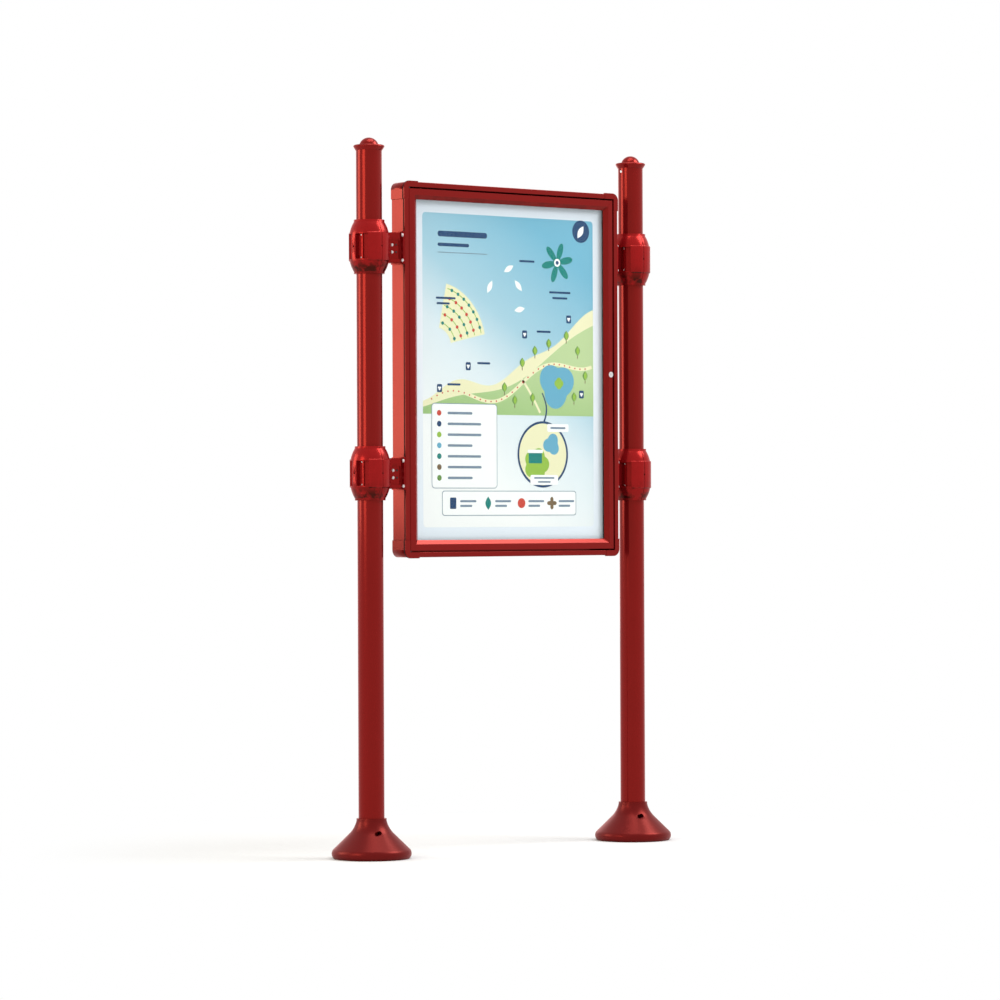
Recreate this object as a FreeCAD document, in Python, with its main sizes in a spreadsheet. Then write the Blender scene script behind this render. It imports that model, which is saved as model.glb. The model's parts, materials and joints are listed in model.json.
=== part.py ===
"""Outdoor notice board: a glazed display case held between two round steel posts.

The origin is at ground level, midway between the two posts. +Z is up, -Y is the side
from which the board is read and +X is to the reader's right. All sizes are millimetres.
"""
import FreeCAD
import Part
import Sketcher
import math
import os
from types import SimpleNamespace

doc = FreeCAD.newDocument("notice_board")
sheet = doc.addObject("Spreadsheet::Sheet", "Sizes")

# Driving dimensions, each written once.
SIZES = {
    # posts and their feet
    "post_diameter": 76,
    "post_wall": 3,
    "post_spacing": 1022,
    "board_height": 2105,
    "foot_inset": 17,
    "foot_thickness": 10,
    "anchor_inset": 25,
    "anchor_hole": 12,
    "slip_gap": 0.15,
    # cast cover at the ground
    "cover_diameter": 234,
    "cover_height": 117,
    "cover_ring": 88,
    "cover_ring_height": 6,
    "cover_flare": 19,
    "cover_flare_drop": 36,
    "cover_flare_hollow": 4,
    "cover_shoulder": 28,
    "cover_edge_round": 6,
    "cover_foot_inset": 7,
    "cover_cavity_inset": 14,
    "cover_cavity_edge": 22,
    "cover_roof": 8,
    "cover_slot_length": 22,
    "cover_slot_width": 11,
    "cover_slot_tilt": 15,
    "cover_slot_height": 76,
    "cover_slot_turn": -20,
    # post cap
    "cap_lip": 92,
    "cap_lip_height": 16,
    "cap_rim": 5,
    "cap_dome": 57,
    "cap_dome_height": 22,
    "cap_socket": 10,
    "cap_skirt": 24,
    "cap_skirt_wall": 3,
    # two-part collars
    "collar_height": 158,
    "collar_diameter": 118,
    "collar_neck": 90,
    "collar_neck_height": 6,
    "collar_band": 50,
    "collar_bulge": 3.4,
    "collar_sweep": 178.6,
    "collar_drop": 194,
    "collar_rise": 246,
    "pad_diameter": 121,
    "pad_height": 84,
    "pad_root": 100,
    "pad_end": 42,
    "pad_chamfer": 2.2,
    "recess_end": 81,
    "recess_floor": 90,
    "recess_height": 74,
    "rib_angle": 61,
    "rib_width": 3,
    "rib_height": 8,
    "seam_hole": 5,
    "set_screw_hole": 5,
    "cut_margin": 1,
    # arms and flanges of the collars' inner halves
    "flange_thickness": 4,
    "flange_height": 96,
    "flange_front": 45.5,
    "flange_back": 15,
    "flange_gap": 0.2,
    "arm_height": 90,
    "arm_start": 50,
    "arm_root": 22,
    "arm_waist": 57,
    "arm_bend": 74,
    "arm_bend_front": 18.7,
    "arm_front": 31,
    "arm_back": 13,
    "arm_recess_start": 68,
    "arm_recess_margin": 2,
    "arm_recess_start_front": 10.5,
    "arm_recess_end_front": 24,
    "arm_recess_foot": -33,
    "arm_recess_top": 21,
    # case
    "case_post_gap": 58,
    "case_height": 1101,
    "case_top_drop": 126,
    "case_front": 47,
    "case_back": 18,
    "case_wall": 3,
    "band_width": 14.5,
    "band_depth": 6,
    "band_overhang": 2.5,
    "groove_width": 3.5,
    "groove_depth": 4,
    "neck_wall": 4,
    "back_lip": 30,
    "corner_leg": 50,
    "corner_radius": 22,
    "corner_proud": 3,
    "corner_face": 0.5,
    "panel_gap": 0.3,
    "back_panel": 3,
    # door leaf
    "door_gap": 5,
    "door_depth": 16,
    "door_face": 18.5,
    "bevel_width": 12,
    "bevel_depth": 9,
    "glass_thickness": 3,
    "glass_lip": 2,
    "glass_overlap": 8,
    "glass_gap": 0.3,
    "gasket_margin": 1,
    "knuckle_diameter": 6.4,
    "knuckle_gap": 1,
    "hinge_pin": 3.2,
    "hinge_pin_play": 0.08,
    "hinge_pin_seat": 6,
    # display tray and printed sheet
    "display_depth": 22.5,
    "sheet_overlap": 5,
    "sheet_thickness": 0.5,
    "tray_margin": 4,
    "tray_wall": 1.5,
    # lock
    "lock_rim": 17,
    "lock_rim_height": 0.8,
    "lock_barrel": 15,
    "lock_length": 27,
    "lock_play": 0.1,
    "plug_diameter": 11,
    "key_slot_width": 1.4,
    "key_slot_length": 7,
    "key_slot_depth": 4,
    "cam_width": 10,
    "cam_thickness": 3,
    "cam_reach": 18,
    "cam_gap": 5,
    "keeper_width": 11.5,
    "keeper_height": 24,
    "keeper_thickness": 3,
}


class Size:
    """A length with its value now and the sheet's expression that gives it."""

    def __init__(self, value, words):
        self.value = float(value)
        self.words = words

    def __add__(self, other):
        return Size(self.value + number(other), f"({self.words} + {words(other)})")

    def __radd__(self, other):
        return Size(number(other) + self.value, f"({words(other)} + {self.words})")

    def __sub__(self, other):
        return Size(self.value - number(other), f"({self.words} - {words(other)})")

    def __rsub__(self, other):
        return Size(number(other) - self.value, f"({words(other)} - {self.words})")

    def __mul__(self, other):
        return Size(self.value * number(other), f"({self.words} * {words(other)})")

    __rmul__ = __mul__

    def __truediv__(self, other):
        return Size(self.value / number(other), f"({self.words} / {words(other)})")

    def __neg__(self):
        return Size(-self.value, f"(-{self.words})")


def number(x):
    """The plain value of a size or a number."""
    return x.value if isinstance(x, Size) else float(x)


def words(x):
    """The expression of a size or a number."""
    return x.words if isinstance(x, Size) else repr(float(x))


def root(x):
    """Square root of a size."""
    return Size(math.sqrt(x.value), f"sqrt({x.words})")


def sine(angle):
    """Sine of an angle in degrees."""
    return Size(math.sin(math.radians(number(angle))), f"sin({words(angle)} * 1deg)")


def cosine(angle):
    """Cosine of an angle in degrees."""
    return Size(math.cos(math.radians(number(angle))), f"cos({words(angle)} * 1deg)")


def fill_sheet():
    """Writes the driving dimensions into the sheet and returns them as sizes."""
    found = {}
    for row, (name, value) in enumerate(SIZES.items(), start=1):
        sheet.set(f"A{row}", name)
        sheet.set(f"B{row}", str(value))
        sheet.setAlias(f"B{row}", name)
        found[name] = Size(value, f"Sizes.{name}")
    doc.recompute()
    return SimpleNamespace(**found)


s = fill_sheet()


class Via:
    """A point that the arc between its two neighbours passes through."""

    def __init__(self, x, y):
        self.x = x
        self.y = y


class Circle:
    """A whole circle in a section."""

    def __init__(self, x, y, radius):
        self.x = x
        self.y = y
        self.radius = radius


def flat(x, y):
    """A point on a sketch's plane."""
    return FreeCAD.Vector(number(x), number(y), 0)


def pin_point(sketch, geometry, vertex, x, y):
    """Ties one point of a sketch to two sizes measured from the sketch's origin."""
    for kind, value in (("DistanceX", x), ("DistanceY", y)):
        made = Sketcher.Constraint(kind, -1, 1, geometry, vertex, number(value))
        index = sketch.addConstraint(made)
        if isinstance(value, Size):
            sketch.setExpression(f"Constraints[{index}]", value.words)


def draw_circle(sketch, circle):
    """Adds a circle tied to its centre and radius."""
    shape = Part.Circle(flat(circle.x, circle.y), FreeCAD.Vector(0, 0, 1), number(circle.radius))
    index = sketch.addGeometry(shape, False)
    pin_point(sketch, index, 3, circle.x, circle.y)
    made = Sketcher.Constraint("Radius", index, number(circle.radius))
    radius = sketch.addConstraint(made)
    if isinstance(circle.radius, Size):
        sketch.setExpression(f"Constraints[{radius}]", circle.radius.words)


def draw_outline(sketch, outline):
    """Adds a closed outline of lines and arcs, each corner tied to its two sizes."""
    corners = [k for k, item in enumerate(outline) if not isinstance(item, Via)]
    ends = []
    for order, k in enumerate(corners):
        start = outline[k]
        finish = outline[corners[(order + 1) % len(corners)]]
        middle = outline[(k + 1) % len(outline)]
        if isinstance(middle, Via):
            begin, bend, close = flat(*start), flat(middle.x, middle.y), flat(*finish)
            anticlockwise = (bend - begin).cross(close - bend).z > 0
            arc = Part.Arc(begin, bend, close) if anticlockwise else Part.Arc(close, bend, begin)
            index = sketch.addGeometry(arc, False)
            ends.append((index, 1, 2) if anticlockwise else (index, 2, 1))
            mark = sketch.addGeometry(Part.Point(flat(middle.x, middle.y)), True)
            pin_point(sketch, mark, 1, middle.x, middle.y)
            sketch.addConstraint(Sketcher.Constraint("PointOnObject", mark, 1, index))
        else:
            index = sketch.addGeometry(Part.LineSegment(flat(*start), flat(*finish)), False)
            ends.append((index, 1, 2))
    for order, k in enumerate(corners):
        index, first, last = ends[order]
        following = ends[(order + 1) % len(ends)]
        sketch.addConstraint(Sketcher.Constraint("Coincident", index, last, following[0], following[1]))
        pin_point(sketch, index, first, *outline[k])


def new_sketch(body, role, contours, offset=0):
    """A sketch of closed contours on one of the body's own planes, moved along its normal."""
    plane = [f for f in body.Origin.OriginFeatures if f.Role == role][0]
    sketch = body.newObject("Sketcher::SketchObject", f"{body.Name}_section")
    sketch.AttachmentSupport = (plane, [""])
    sketch.MapMode = "FlatFace"
    sketch.AttachmentOffset = FreeCAD.Placement(
        FreeCAD.Vector(0, 0, number(offset)), FreeCAD.Rotation()
    )
    if isinstance(offset, Size):
        sketch.setExpression("AttachmentOffset.Base.z", offset.words)
    for contour in contours:
        if isinstance(contour, Circle):
            draw_circle(sketch, contour)
        else:
            draw_outline(sketch, contour)
    return sketch


def stretch(body, kind, axis, contours, low, high):
    """Pads or pockets contours between two stations along an axis.

    Along Z a contour gives x and y, along X it gives y and z, and along Y it gives x and z.
    """
    role = {"Z": "XY_Plane", "X": "YZ_Plane", "Y": "XZ_Plane"}[axis]
    offset = -high if axis == "Y" else low
    sketch = new_sketch(body, role, contours, offset)
    feature = body.newObject(f"PartDesign::{kind}", f"{body.Name}_{kind.lower()}")
    feature.Profile = sketch
    feature.Reversed = kind == "Pocket"
    depth = high - low
    feature.Length = number(depth)
    if isinstance(depth, Size):
        feature.setExpression("Length", depth.words)
    sketch.Visibility = False
    return feature


def new_body(name):
    """An empty body with the piece's own name."""
    body = doc.addObject("PartDesign::Body", name)
    body.Label = name
    return body


def pad(body, axis, contours, low, high):
    """Adds material between two stations along an axis."""
    return stretch(body, "Pad", axis, contours, low, high)


def pocket(body, axis, contours, low, high):
    """Removes material between two stations along an axis."""
    doc.recompute()
    before = body.Shape.Volume
    feature = stretch(body, "Pocket", axis, contours, low, high)
    doc.recompute()
    if body.Shape.Volume >= before:
        raise RuntimeError(f"a pocket in {body.Label} removes nothing")
    return feature


def revolve(body, outline, sweep=None):
    """Turns an outline of radius and height about the body's vertical axis."""
    sketch = new_sketch(body, "XZ_Plane", [outline])
    feature = body.newObject("PartDesign::Revolution", f"{body.Name}_turned")
    feature.Profile = sketch
    feature.ReferenceAxis = (sketch, ["V_Axis"])
    feature.Angle = 360
    if sweep is not None:
        feature.Midplane = True
        feature.Angle = sweep.value
        feature.setExpression("Angle", sweep.words)
    return feature


def place(body, x=0, z=0, turn=0):
    """Sets a body on its axis, turned about the vertical."""
    rotation = FreeCAD.Rotation(FreeCAD.Vector(0, 0, 1), number(turn))
    body.Placement = FreeCAD.Placement(FreeCAD.Vector(number(x), 0, number(z)), rotation)
    for path, value in ((".Base.x", x), (".Base.z", z), (".Rotation.Angle", turn)):
        if isinstance(value, Size):
            body.setExpression(f"Placement{path}", value.words)
    return body


def box(x_low, x_high, z_low, z_high):
    """A rectangle given by its four sides."""
    return [(x_low, z_low), (x_high, z_low), (x_high, z_high), (x_low, z_high)]


# Positions that several pieces share.
post_radius = s.post_diameter / 2
post_side = {"left": -s.post_spacing / 2, "right": s.post_spacing / 2}
half_width = s.post_spacing / 2 - s.post_diameter / 2 - s.case_post_gap
half_height = s.case_height / 2
case_top = s.board_height - s.case_top_drop
case_bottom = case_top - s.case_height
case_middle = case_bottom + half_height
front = -s.case_front
band_back = front + s.band_depth
groove_back = band_back + s.groove_width
panel_face = s.case_back - s.case_wall
shell_side = half_width - s.band_overhang
groove_floor = s.band_overhang + s.groove_depth
neck_inside = groove_floor + s.neck_wall
wall_inside = s.band_overhang + s.case_wall
wall_bend = s.corner_radius - s.case_wall - s.corner_proud
door_side = half_width - s.band_width - s.door_gap
door_rise = half_height - s.band_width - s.door_gap
opening_side = door_side - s.door_face - s.bevel_width
opening_rise = door_rise - s.door_face - s.bevel_width
frame_width = s.door_face + s.bevel_width
knuckle_radius = s.knuckle_diameter / 2
hinge_axis = (-door_side, front + knuckle_radius)
hinge_band = half_width - door_side - knuckle_radius - s.knuckle_gap
door_back = front + s.door_depth
glass_front = front + s.bevel_depth + s.glass_lip
glass_back = glass_front + s.glass_thickness
display_face = front + s.display_depth
sheet_side = opening_side + s.sheet_overlap
sheet_rise = opening_rise + s.sheet_overlap
collar_heights = {"upper": case_top - s.collar_drop, "lower": case_bottom + s.collar_rise}
lock_x = opening_side + s.bevel_width + s.door_face / 2


def make_post(side):
    """Round tube that stands on its foot plate and ends inside its cap."""
    body = new_body(f"post_{side}")
    top = s.board_height - s.cap_dome_height - s.cap_lip_height + s.cap_socket
    rings = [Circle(0, 0, post_radius), Circle(0, 0, post_radius - s.post_wall)]
    pad(body, "Z", rings, s.foot_thickness, top)
    return place(body, x=post_side[side])


def make_foot(side):
    """Steel plate welded under the tube, with four anchor holes."""
    body = new_body(f"foot_plate_{side}")
    edge = s.cover_diameter / 2 - s.foot_inset
    pad(body, "Z", [Circle(0, 0, edge)], 0, s.foot_thickness)
    reach = (edge - s.anchor_inset) * math.sqrt(0.5)
    holes = [Circle(reach * i, reach * j, s.anchor_hole / 2) for i in (-1, 1) for j in (-1, 1)]
    pocket(body, "Z", holes, 0, s.foot_thickness)
    return place(body, x=post_side[side])


def slot(x, z, length, width, tilt):
    """Outline of a round-ended slot, tilted from the level."""
    radius = width / 2
    half = length / 2 - radius
    along = (cosine(tilt), sine(tilt))

    def at(forward, up):
        return (x + along[0] * forward - along[1] * up, z + along[1] * forward + along[0] * up)

    return [
        at(-half, radius),
        at(half, radius),
        Via(*at(half + radius, 0)),
        at(half, -radius),
        at(-half, -radius),
        Via(*at(-half - radius, 0)),
    ]


def make_cover(side):
    """Hollow cast cone over the foot, with a slot on each side to reach its screw."""
    body = new_body(f"base_cover_{side}")
    bore = post_radius + s.slip_gap
    edge = s.cover_diameter / 2
    ring = s.cover_ring / 2
    ring_foot = s.cover_height - s.cover_ring_height
    waist = ring + s.cover_flare
    waist_height = ring_foot - s.cover_flare_drop
    cavity = edge - s.cover_cavity_inset
    outline = [
        (bore, s.cover_height),
        (ring, s.cover_height),
        (ring, ring_foot),
        Via((ring + waist - s.cover_flare_hollow) / 2, (ring_foot + waist_height - s.cover_flare_hollow) / 2),
        (waist, waist_height),
        (edge - s.cover_edge_round, s.cover_shoulder),
        Via(edge, s.cover_shoulder / 2),
        (edge - s.cover_foot_inset, 0),
        (cavity, 0),
        (cavity, s.cover_cavity_edge),
        (waist, waist_height - s.cover_roof),
        (bore, waist_height - s.cover_roof),
    ]
    revolve(body, outline)
    opening = slot(0, s.cover_slot_height, s.cover_slot_length, s.cover_slot_width, s.cover_slot_tilt)
    pocket(body, "Y", [opening], -edge, edge)
    return place(body, x=post_side[side], turn=s.cover_slot_turn)


def make_cap(side):
    """Cast cap with a flared lip, a low dome and a skirt inside the tube."""
    body = new_body(f"cap_{side}")
    lip = s.cap_lip / 2
    dome = s.cap_dome / 2
    bore = post_radius + s.slip_gap
    skirt = post_radius - s.post_wall - s.slip_gap
    lip_top = s.cap_lip_height
    top = lip_top + s.cap_dome_height
    seat = s.cap_socket
    widest = lip_top - s.cap_rim
    skirt_foot = -s.cap_skirt
    inner = skirt - s.cap_skirt_wall
    ceiling = seat - s.cap_skirt_wall
    ball = (dome * dome + s.cap_dome_height * s.cap_dome_height) / (s.cap_dome_height * 2)
    crown = root(ball * ball - dome * dome * 0.25)
    outline = [
        (0, top),
        Via(dome * 0.5, top - ball + crown),
        (dome, lip_top),
        (lip - s.cap_rim, lip_top),
        Via(lip - s.cap_rim * 0.3, lip_top - s.cap_rim * 0.3),
        (lip, widest),
        (bore + 1, 0),
        (bore, 0),
        (bore, seat),
        (skirt, seat),
        (skirt, skirt_foot),
        (inner, skirt_foot),
        (inner, ceiling),
        (0, ceiling),
    ]
    revolve(body, outline)
    return place(body, x=post_side[side], z=s.board_height - top)


def sector(inner, outer, start, finish):
    """A ring sector, its angles counted in degrees from the front towards +X."""
    middle = (start + finish) / 2
    return [
        (inner * sine(start), -(inner * cosine(start))),
        (outer * sine(start), -(outer * cosine(start))),
        Via(outer * sine(middle), -(outer * cosine(middle))),
        (outer * sine(finish), -(outer * cosine(finish))),
        (inner * sine(finish), -(inner * cosine(finish))),
    ]


def chamfer(body, size, wanted):
    """Chamfers the edges of the body that the test picks out."""
    doc.recompute()
    tip = body.Tip
    names = [f"Edge{i + 1}" for i, edge in enumerate(tip.Shape.Edges) if wanted(edge)]
    if not names:
        raise RuntimeError(f"{body.Label}: no edge to chamfer")
    feature = body.newObject("PartDesign::Chamfer", f"{body.Name}_chamfer")
    feature.Base = (tip, names)
    feature.setExpression("Size", words(size))
    doc.recompute()


def add_arm(body, ahead):
    """Arm of a collar's inner half, widening to a flange on the case, with a shallow screw recess.

    The arm runs towards the body's own +X, and ahead is the sign of its Y on the reader's side.
    """
    wall = s.post_spacing / 2 - shell_side
    rim = s.post_spacing / 2 - half_width
    face = rim - s.flange_thickness
    step = -band_back - s.flange_gap
    half = s.flange_height / 2
    flange = [
        (face, s.flange_front * ahead),
        (rim - s.flange_gap, s.flange_front * ahead),
        (rim - s.flange_gap, step * ahead),
        (wall, step * ahead),
        (wall, s.flange_back * -ahead),
        (face, s.flange_back * -ahead),
    ]
    pad(body, "Z", [flange], -half, half)
    root_half = s.arm_root / 2
    arm = [
        (s.arm_start, root_half * ahead),
        (s.arm_waist, root_half * ahead),
        Via(s.arm_bend, s.arm_bend_front * ahead),
        (face, s.arm_front * ahead),
        (face, s.arm_back * -ahead),
        (s.arm_waist, root_half * -ahead),
        (s.arm_start, root_half * -ahead),
    ]
    rise = s.arm_height / 2
    pad(body, "Z", [arm], -rise, rise)
    recess_end = face - s.arm_recess_margin
    recess = [
        (s.arm_recess_start, s.arm_recess_start_front * ahead),
        (recess_end, s.arm_recess_end_front * ahead),
        (recess_end, s.flange_front * ahead),
        (s.arm_recess_start, s.flange_front * ahead),
    ]
    pocket(body, "Z", [recess], s.arm_recess_foot, s.arm_recess_top)


def make_collar_half(side, level, place_name, turn):
    """Half of a cast collar: a barrel with a pad and a ribbed recess at each end, and any arm."""
    body = new_body(f"collar_{level}_{side}_{place_name}")
    bore = post_radius + s.slip_gap
    widest = s.collar_diameter / 2
    neck = s.collar_neck / 2
    end = s.collar_height / 2
    neck_foot = end - s.collar_neck_height
    band = s.collar_band / 2
    middle_radius = (widest + neck) / 2 + s.collar_bulge
    middle_height = (neck_foot + band) / 2
    outline = [
        (bore, -end),
        (neck, -end),
        (neck, -neck_foot),
        Via(middle_radius, -middle_height),
        (widest, -band),
        (widest, band),
        Via(middle_radius, middle_height),
        (neck, neck_foot),
        (neck, end),
        (bore, end),
    ]
    revolve(body, outline, sweep=s.collar_sweep)
    seam = (180 - s.collar_sweep) / 2
    pad_inner = s.pad_root / 2
    pad_outer = s.pad_diameter / 2
    half_pad = s.pad_height / 2
    pads = [
        sector(pad_inner, pad_outer, seam, s.pad_end),
        sector(pad_inner, pad_outer, 180 - s.pad_end, 180 - seam),
    ]
    pad(body, "Z", pads, -half_pad, half_pad)

    def is_pad_rim(edge):
        curve = edge.Curve
        on_rim = hasattr(curve, "Radius") and abs(curve.Radius - pad_outer.value) < 0.01
        level_edge = abs(abs(edge.CenterOfMass.z) - half_pad.value) < 0.01
        return on_rim and level_edge

    chamfer(body, s.pad_chamfer, is_pad_rim)
    half_recess = s.recess_height / 2
    floor = s.recess_floor / 2
    half_rib = s.rib_width / 2
    beyond = pad_outer + s.cut_margin
    recesses = [
        sector(floor, beyond, s.pad_end, s.rib_angle - half_rib),
        sector(floor, beyond, s.rib_angle + half_rib, s.recess_end),
        sector(floor, beyond, 180 - s.recess_end, 180 - s.rib_angle - half_rib),
        sector(floor, beyond, 180 - s.rib_angle + half_rib, 180 - s.pad_end),
    ]
    pocket(body, "Z", recesses, -half_recess, half_recess)
    low_rib = floor + s.rib_height
    rib_tops = [
        sector(low_rib, beyond, s.rib_angle - half_rib, s.rib_angle + half_rib),
        sector(low_rib, beyond, 180 - s.rib_angle - half_rib, 180 - s.rib_angle + half_rib),
    ]
    pocket(body, "Z", rib_tops, -half_recess, half_recess)
    seam_hole = [Circle(0, 0, s.seam_hole / 2)]
    pocket(body, "Y", seam_hole, -beyond, -floor)
    pocket(body, "Y", seam_hole, floor, beyond)
    if place_name == "inner":
        add_arm(body, -1 if side == "left" else 1)
    else:
        pocket(body, "X", [Circle(0, 0, s.set_screw_hole / 2)], floor, beyond)
    return place(body, x=post_side[side], z=collar_heights[level], turn=turn)


def make_collar(side, level):
    """Both halves of one collar, the inner one with its arm towards the case."""
    inner_turn = 0 if side == "left" else 180
    return [
        make_collar_half(side, level, "inner", inner_turn),
        make_collar_half(side, level, "outer", 180 - inner_turn),
    ]


def profile_section(across, away, middle, band):
    """Section of a case profile: wall, groove, front band and the lip that holds the back.

    across is half the case's size across the profile, away is which way is outwards,
    middle is the case's centre on that axis and band is the front band's width.
    """
    def at(inset):
        return middle + (across - inset) * away

    return [
        (at(s.band_overhang), s.case_back),
        (at(s.band_overhang), groove_back),
        (at(groove_floor), groove_back),
        (at(groove_floor), band_back),
        (at(0), band_back),
        (at(0), front),
        (at(band), front),
        (at(band), band_back),
        (at(neck_inside), band_back),
        (at(neck_inside), groove_back + s.case_wall),
        (at(wall_inside), groove_back + s.case_wall),
        (at(wall_inside), panel_face),
        (at(s.band_overhang + s.back_lip), panel_face),
        (at(s.band_overhang + s.back_lip), s.case_back),
    ]


def make_side_profile(side):
    """Upright profile of the case between its two corners."""
    body = new_body(f"case_side_{side}")
    way = -1 if side == "left" else 1
    band = hinge_band if side == "left" else s.band_width
    section = profile_section(half_width, way, 0, band)
    low = case_bottom + s.corner_leg
    high = case_top - s.corner_leg
    pad(body, "Z", [section], low, high)
    return body


def make_level_profile(name, way):
    """Top or bottom profile of the case between its two corners."""
    body = new_body(name)
    section = profile_section(half_height, way, case_middle, s.band_width)
    along = half_width - s.corner_leg
    turned = [(y, z) for z, y in section]
    pad(body, "X", [turned], -along, along)
    return body


def corner_layer(across, up, outer, inner_x, inner_z, radius, inner_radius=None):
    """L-shaped layer of a case corner, measured inwards from the profiles' meeting point.

    outer is the inset of the outer edge, inner_x and inner_z those of the inner edges.
    Without an inner radius the inner corner is sharp.
    """
    def at(x, z):
        return (-x * across, -z * up)

    share = 1 - math.sqrt(0.5)
    bend = outer + radius * share
    outline = [
        at(s.corner_leg, outer),
        at(outer + radius, outer),
        Via(*at(bend, bend)),
        at(outer, outer + radius),
        at(outer, s.corner_leg),
        at(inner_x, s.corner_leg),
    ]
    if inner_radius is None:
        outline.append(at(inner_x, inner_z))
    else:
        outline += [
            at(inner_x, inner_z + inner_radius),
            Via(*at(inner_x + inner_radius * share, inner_z + inner_radius * share)),
            at(inner_x + inner_radius, inner_z),
        ]
    return outline + [at(s.corner_leg, inner_z)]


def make_corner(name, across, up):
    """Cast corner of the case, a little prouder than the profiles that it joins."""
    body = new_body(name)
    band = hinge_band if across < 0 else s.band_width
    radius = s.corner_radius
    proud = -s.corner_proud
    shell = s.band_overhang - s.corner_proud
    floor = groove_floor - s.corner_proud
    lip = s.band_overhang + s.back_lip
    step = groove_back + s.case_wall
    layers = [
        (proud, band, s.band_width, None, front - s.corner_face, band_back),
        (floor, neck_inside, neck_inside, None, band_back, groove_back),
        (shell, neck_inside, neck_inside, None, groove_back, step),
        (shell, wall_inside, wall_inside, wall_bend, step, panel_face),
        (shell, lip, lip, None, panel_face, s.case_back),
    ]
    for outer, inner_x, inner_z, inner_radius, low, high in layers:
        outline = corner_layer(across, up, outer, inner_x, inner_z, radius, inner_radius)
        pad(body, "Y", [outline], low, high)
    if across < 0:
        edge = -s.band_width * up
        depth = edge + s.hinge_pin_seat * up
        axis_x = hinge_axis[0] + half_width
        seat = Circle(axis_x, hinge_axis[1], s.hinge_pin / 2 + s.hinge_pin_play)
        low, high = (edge, depth) if up > 0 else (depth, edge)
        pocket(body, "Z", [seat], low, high)
    return place(body, x=half_width * across, z=case_middle + half_height * up)


def make_back_panel():
    """Sheet with clipped corners that closes the back of the case against the lips."""
    body = new_body("back_panel")
    side = half_width - wall_inside - s.panel_gap
    rise = half_height - wall_inside - s.panel_gap
    clip = wall_bend
    outline = []
    for across, up in ((1, 1), (-1, 1), (-1, -1), (1, -1)):
        ends = [(side, rise - clip), (side - clip, rise)]
        if across != up:
            ends.reverse()
        outline += [(x * across, z * up) for x, z in ends]
    pad(body, "Y", [outline], panel_face - s.back_panel, panel_face)
    return place(body, z=case_middle)


def make_tray():
    """Folded steel tray that carries the printed sheet in front of the back panel."""
    body = new_body("display_tray")
    side = sheet_side + s.tray_margin
    rise = sheet_rise + s.tray_margin
    back = panel_face - s.back_panel
    outer = box(-side, side, case_middle - rise, case_middle + rise)
    pad(body, "Y", [outer], display_face, back)
    wall = s.tray_wall
    inner = box(wall - side, side - wall, case_middle - rise + wall, case_middle + rise - wall)
    pocket(body, "Y", [inner], display_face + wall, back)
    return body


def make_sheet():
    """Printed sheet on the face of the tray."""
    body = new_body("printed_sheet")
    outline = box(-sheet_side, sheet_side, case_middle - sheet_rise, case_middle + sheet_rise)
    pad(body, "Y", [outline], display_face - s.sheet_thickness, display_face)
    return body


def make_hinge_pin():
    """Steel rod through the door's knuckle, seated in two corners of the case."""
    body = new_body("hinge_pin")
    reach = half_height - s.band_width + s.hinge_pin_seat
    rod = Circle(hinge_axis[0], hinge_axis[1], s.hinge_pin / 2)
    pad(body, "Z", [rod], case_middle - reach, case_middle + reach)
    return body


def frame_section(across, away, middle):
    """Section of a door member: flat face, bevel down to the glass and the rebate behind it."""
    def at(inset):
        return middle + (across - inset) * away

    rebate = frame_width - s.glass_overlap
    return [
        (at(0), front),
        (at(s.door_face), front),
        (at(frame_width), front + s.bevel_depth),
        (at(frame_width), glass_front),
        (at(rebate), glass_front),
        (at(rebate), door_back),
        (at(0), door_back),
    ]


def mitre(across, up, along_x):
    """Triangle that is cut from a door member's end to leave its mitre."""
    outer = (door_side * across, case_middle + door_rise * up)
    spare = frame_width + 1
    inner_x = (door_side - spare) * across
    inner_z = case_middle + (door_rise - spare) * up
    if along_x:
        return [outer, (inner_x, inner_z), (door_side * across, inner_z)]
    return [outer, (inner_x, inner_z), (inner_x, case_middle + door_rise * up)]


def make_stile(name, across):
    """Upright member of the door, mitred at both ends."""
    body = new_body(name)
    low = case_middle - door_rise
    high = case_middle + door_rise
    pad(body, "Z", [frame_section(door_side, across, 0)], low, high)
    if across < 0:
        pad(body, "Z", [Circle(hinge_axis[0], hinge_axis[1], knuckle_radius)], low, high)
    ends = [mitre(across, 1, False), mitre(across, -1, False)]
    pocket(body, "Y", ends, front, door_back)
    if across < 0:
        bore = Circle(hinge_axis[0], hinge_axis[1], s.hinge_pin / 2 + s.hinge_pin_play)
        pocket(body, "Z", [bore], low, high)
    else:
        bore = Circle(lock_x, case_middle, s.lock_barrel / 2 + s.slip_gap)
        pocket(body, "Y", [bore], front, door_back)
    return body


def make_rail(name, up):
    """Level member of the door, mitred at both ends."""
    body = new_body(name)
    section = frame_section(door_rise, up, case_middle)
    turned = [(y, z) for z, y in section]
    pad(body, "X", [turned], -door_side, door_side)
    ends = [mitre(-1, up, True), mitre(1, up, True)]
    pocket(body, "Y", ends, front, door_back)
    bore = Circle(hinge_axis[0], hinge_axis[1], s.hinge_pin / 2 + s.hinge_pin_play)
    low = case_middle + (door_rise if up > 0 else frame_width - door_rise) - frame_width
    pocket(body, "Z", [bore], low, low + frame_width)
    return body


def make_glass():
    """Flat pane in the door's rebate."""
    body = new_body("door_glass")
    side = opening_side + s.glass_overlap - s.glass_gap
    rise = opening_rise + s.glass_overlap - s.glass_gap
    outline = box(-side, side, case_middle - rise, case_middle + rise)
    pad(body, "Y", [outline], glass_front, glass_back)
    return body


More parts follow.
